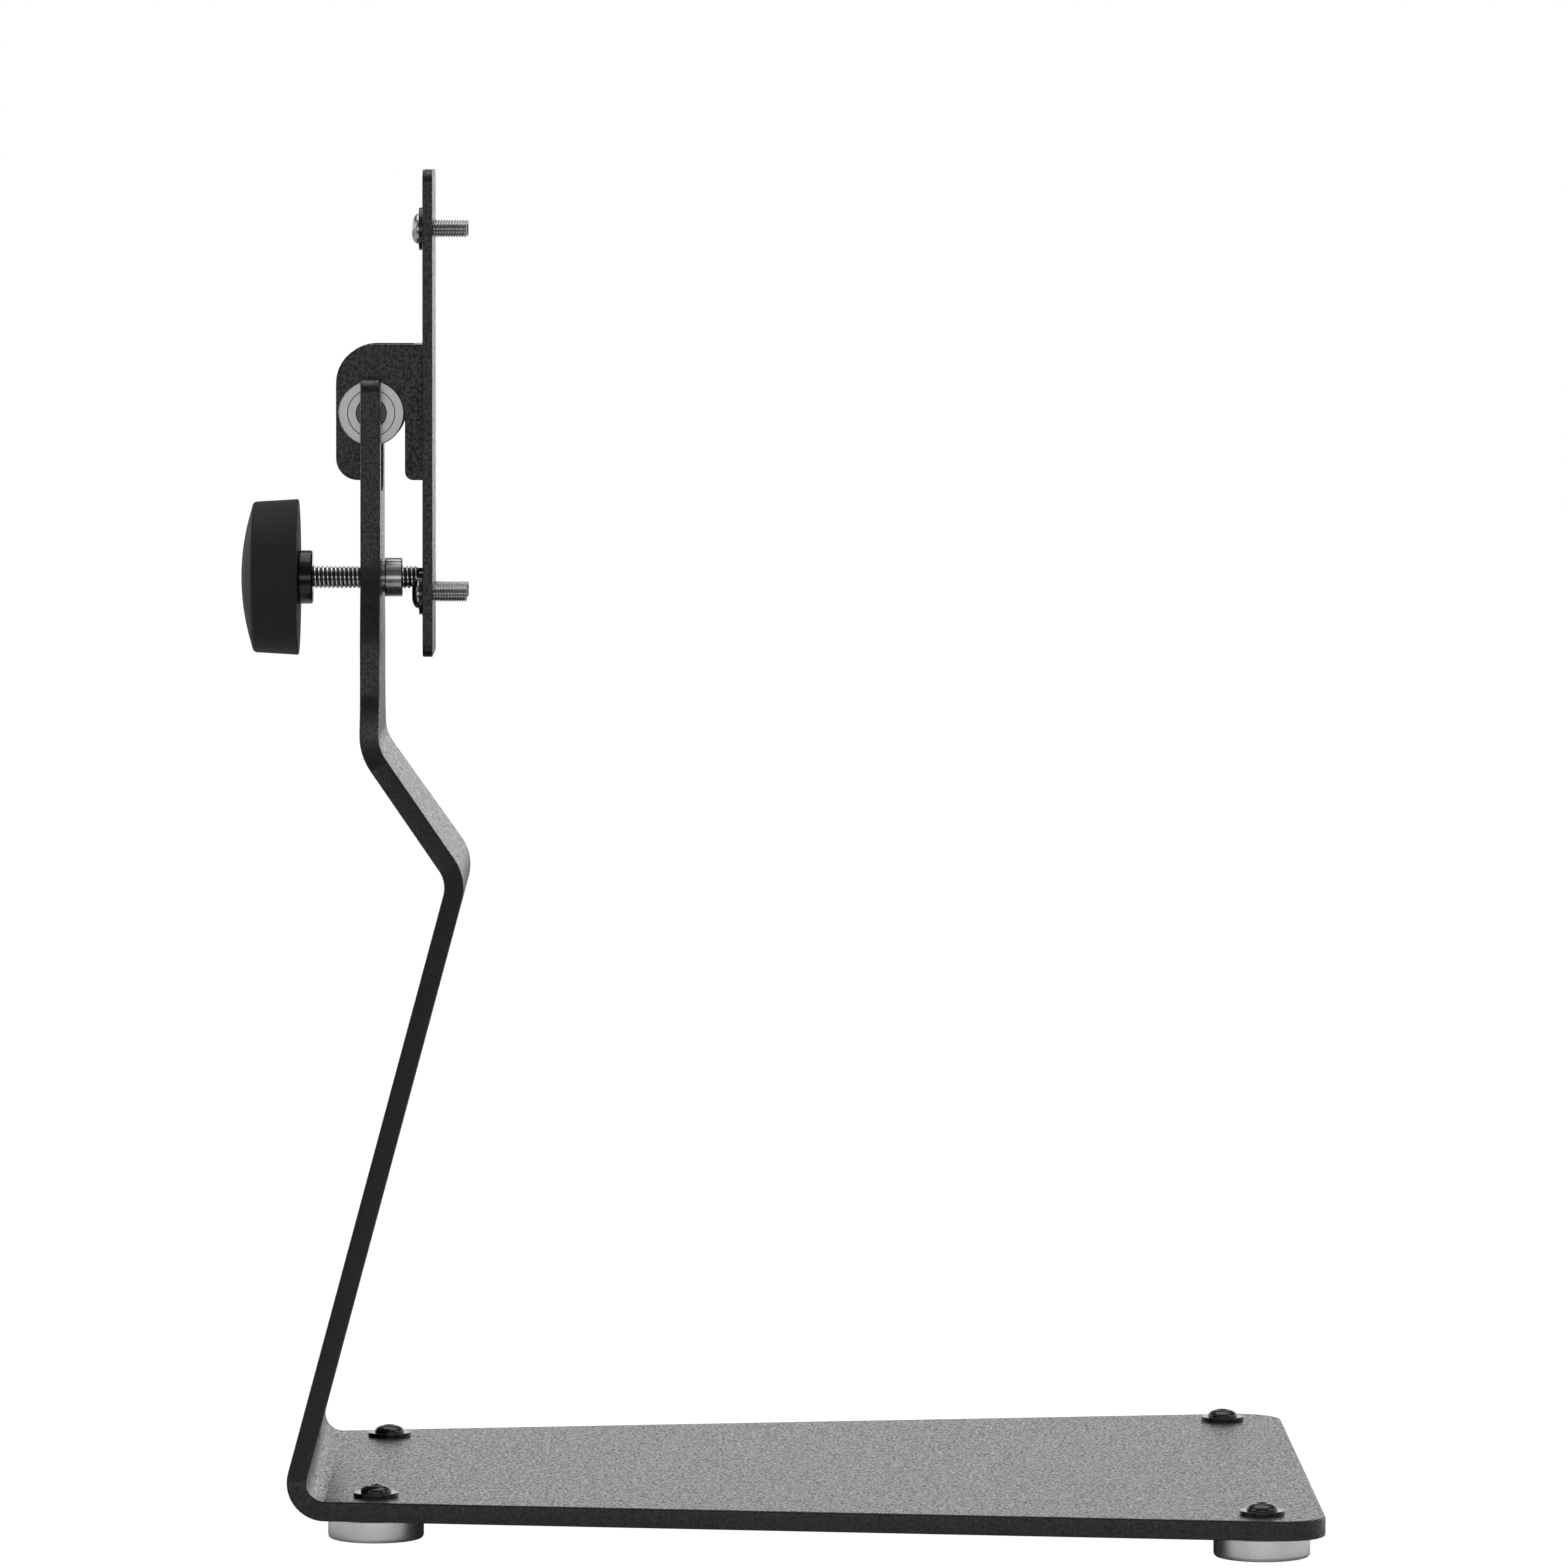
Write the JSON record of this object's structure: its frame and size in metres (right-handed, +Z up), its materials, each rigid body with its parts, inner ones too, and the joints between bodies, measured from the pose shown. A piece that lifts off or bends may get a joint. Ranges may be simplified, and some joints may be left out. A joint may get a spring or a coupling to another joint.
{
  "type": "desktop speaker stand",
  "caption": "Table stand for a loudspeaker: folded black sheet base and post, forked hinge with a tilting mounting plate, and a knob that sets the tilt.",
  "frame": {"origin": "on the ground, under the middle of the overall box; z = 0 is the surface that the feet stand on", "axes": "+X towards the front edge of the base, the way the loudspeaker faces; +Y to the left; +Z up"},
  "size_m": [0.317, 0.2472, 0.3995],
  "materials": {
    "black_powder_coat": "fine textured matt black",
    "satin_aluminium": "satin turned",
    "bright_steel": "bright turned",
    "black_steel": "blackened, semi-gloss",
    "knob_plastic": "fine matt black",
    "boss_plastic": "glossy black",
    "soft_pad": "soft black"
  },
  "bodies": {
    "stand": {"stand_frame": "black_powder_coat", "foot_front_left": "satin_aluminium", "foot_front_right": "satin_aluminium", "foot_rear_left": "satin_aluminium", "foot_rear_right": "satin_aluminium", "foot_pad_front_left": "soft_pad", "foot_pad_front_right": "soft_pad", "foot_pad_rear_left": "soft_pad", "foot_pad_rear_right": "soft_pad", "foot_screw_front_left": "black_steel", "foot_screw_front_right": "black_steel", "foot_screw_rear_left": "black_steel", "foot_screw_rear_right": "black_steel", "foot_washer_front_left": "black_steel", "foot_washer_front_right": "black_steel", "foot_washer_rear_left": "black_steel", "foot_washer_rear_right": "black_steel", "pivot_axle": "black_steel", "axle_disc_left": "bright_steel", "axle_disc_right": "bright_steel", "axle_pin_left": "black_steel", "axle_pin_right": "black_steel", "rod_bushing": "bright_steel"},
    "tilt_bracket": {"tilt_plate": "black_powder_coat", "hinge_yoke": "black_powder_coat", "plate_screw_upper_left": "bright_steel", "plate_screw_upper_right": "bright_steel", "plate_screw_lower_left": "bright_steel", "plate_screw_lower_right": "bright_steel", "plate_washer_upper_left": "black_steel", "plate_washer_upper_right": "black_steel", "plate_washer_lower_left": "black_steel", "plate_washer_lower_right": "black_steel"},
    "nose": {"rod_nose": "soft_pad"},
    "adjuster": {"threaded_rod": "bright_steel", "knob": "knob_plastic", "knob_insert": "boss_plastic"}
  },
  "joints": [
    {"name": "tilt", "type": "hinge", "parent": "stand", "child": "tilt_bracket", "pos_m": [-0.11955, 0, 0.3275], "axis": [0, -1, 0], "range_deg": [-5, 15]},
    {"name": "rod_travel", "type": "slide", "parent": "stand", "child": "nose", "axis": [1, 0, 0], "range_m": [-0.0043, 0.0129]},
    {"name": "knob_turn", "type": "hinge", "parent": "nose", "child": "adjuster", "pos_m": [-0.14155, 0, 0.2784], "axis": [1, 0, 0], "range_deg": [-1230, 3700]}
  ],
  "couplings": [
    {"joint": "rod_travel", "follows": "knob_turn", "m_per_rad": 0.00019894},
    {"joint": "tilt", "follows": "knob_turn", "ratio": 0.0040518}
  ]
}
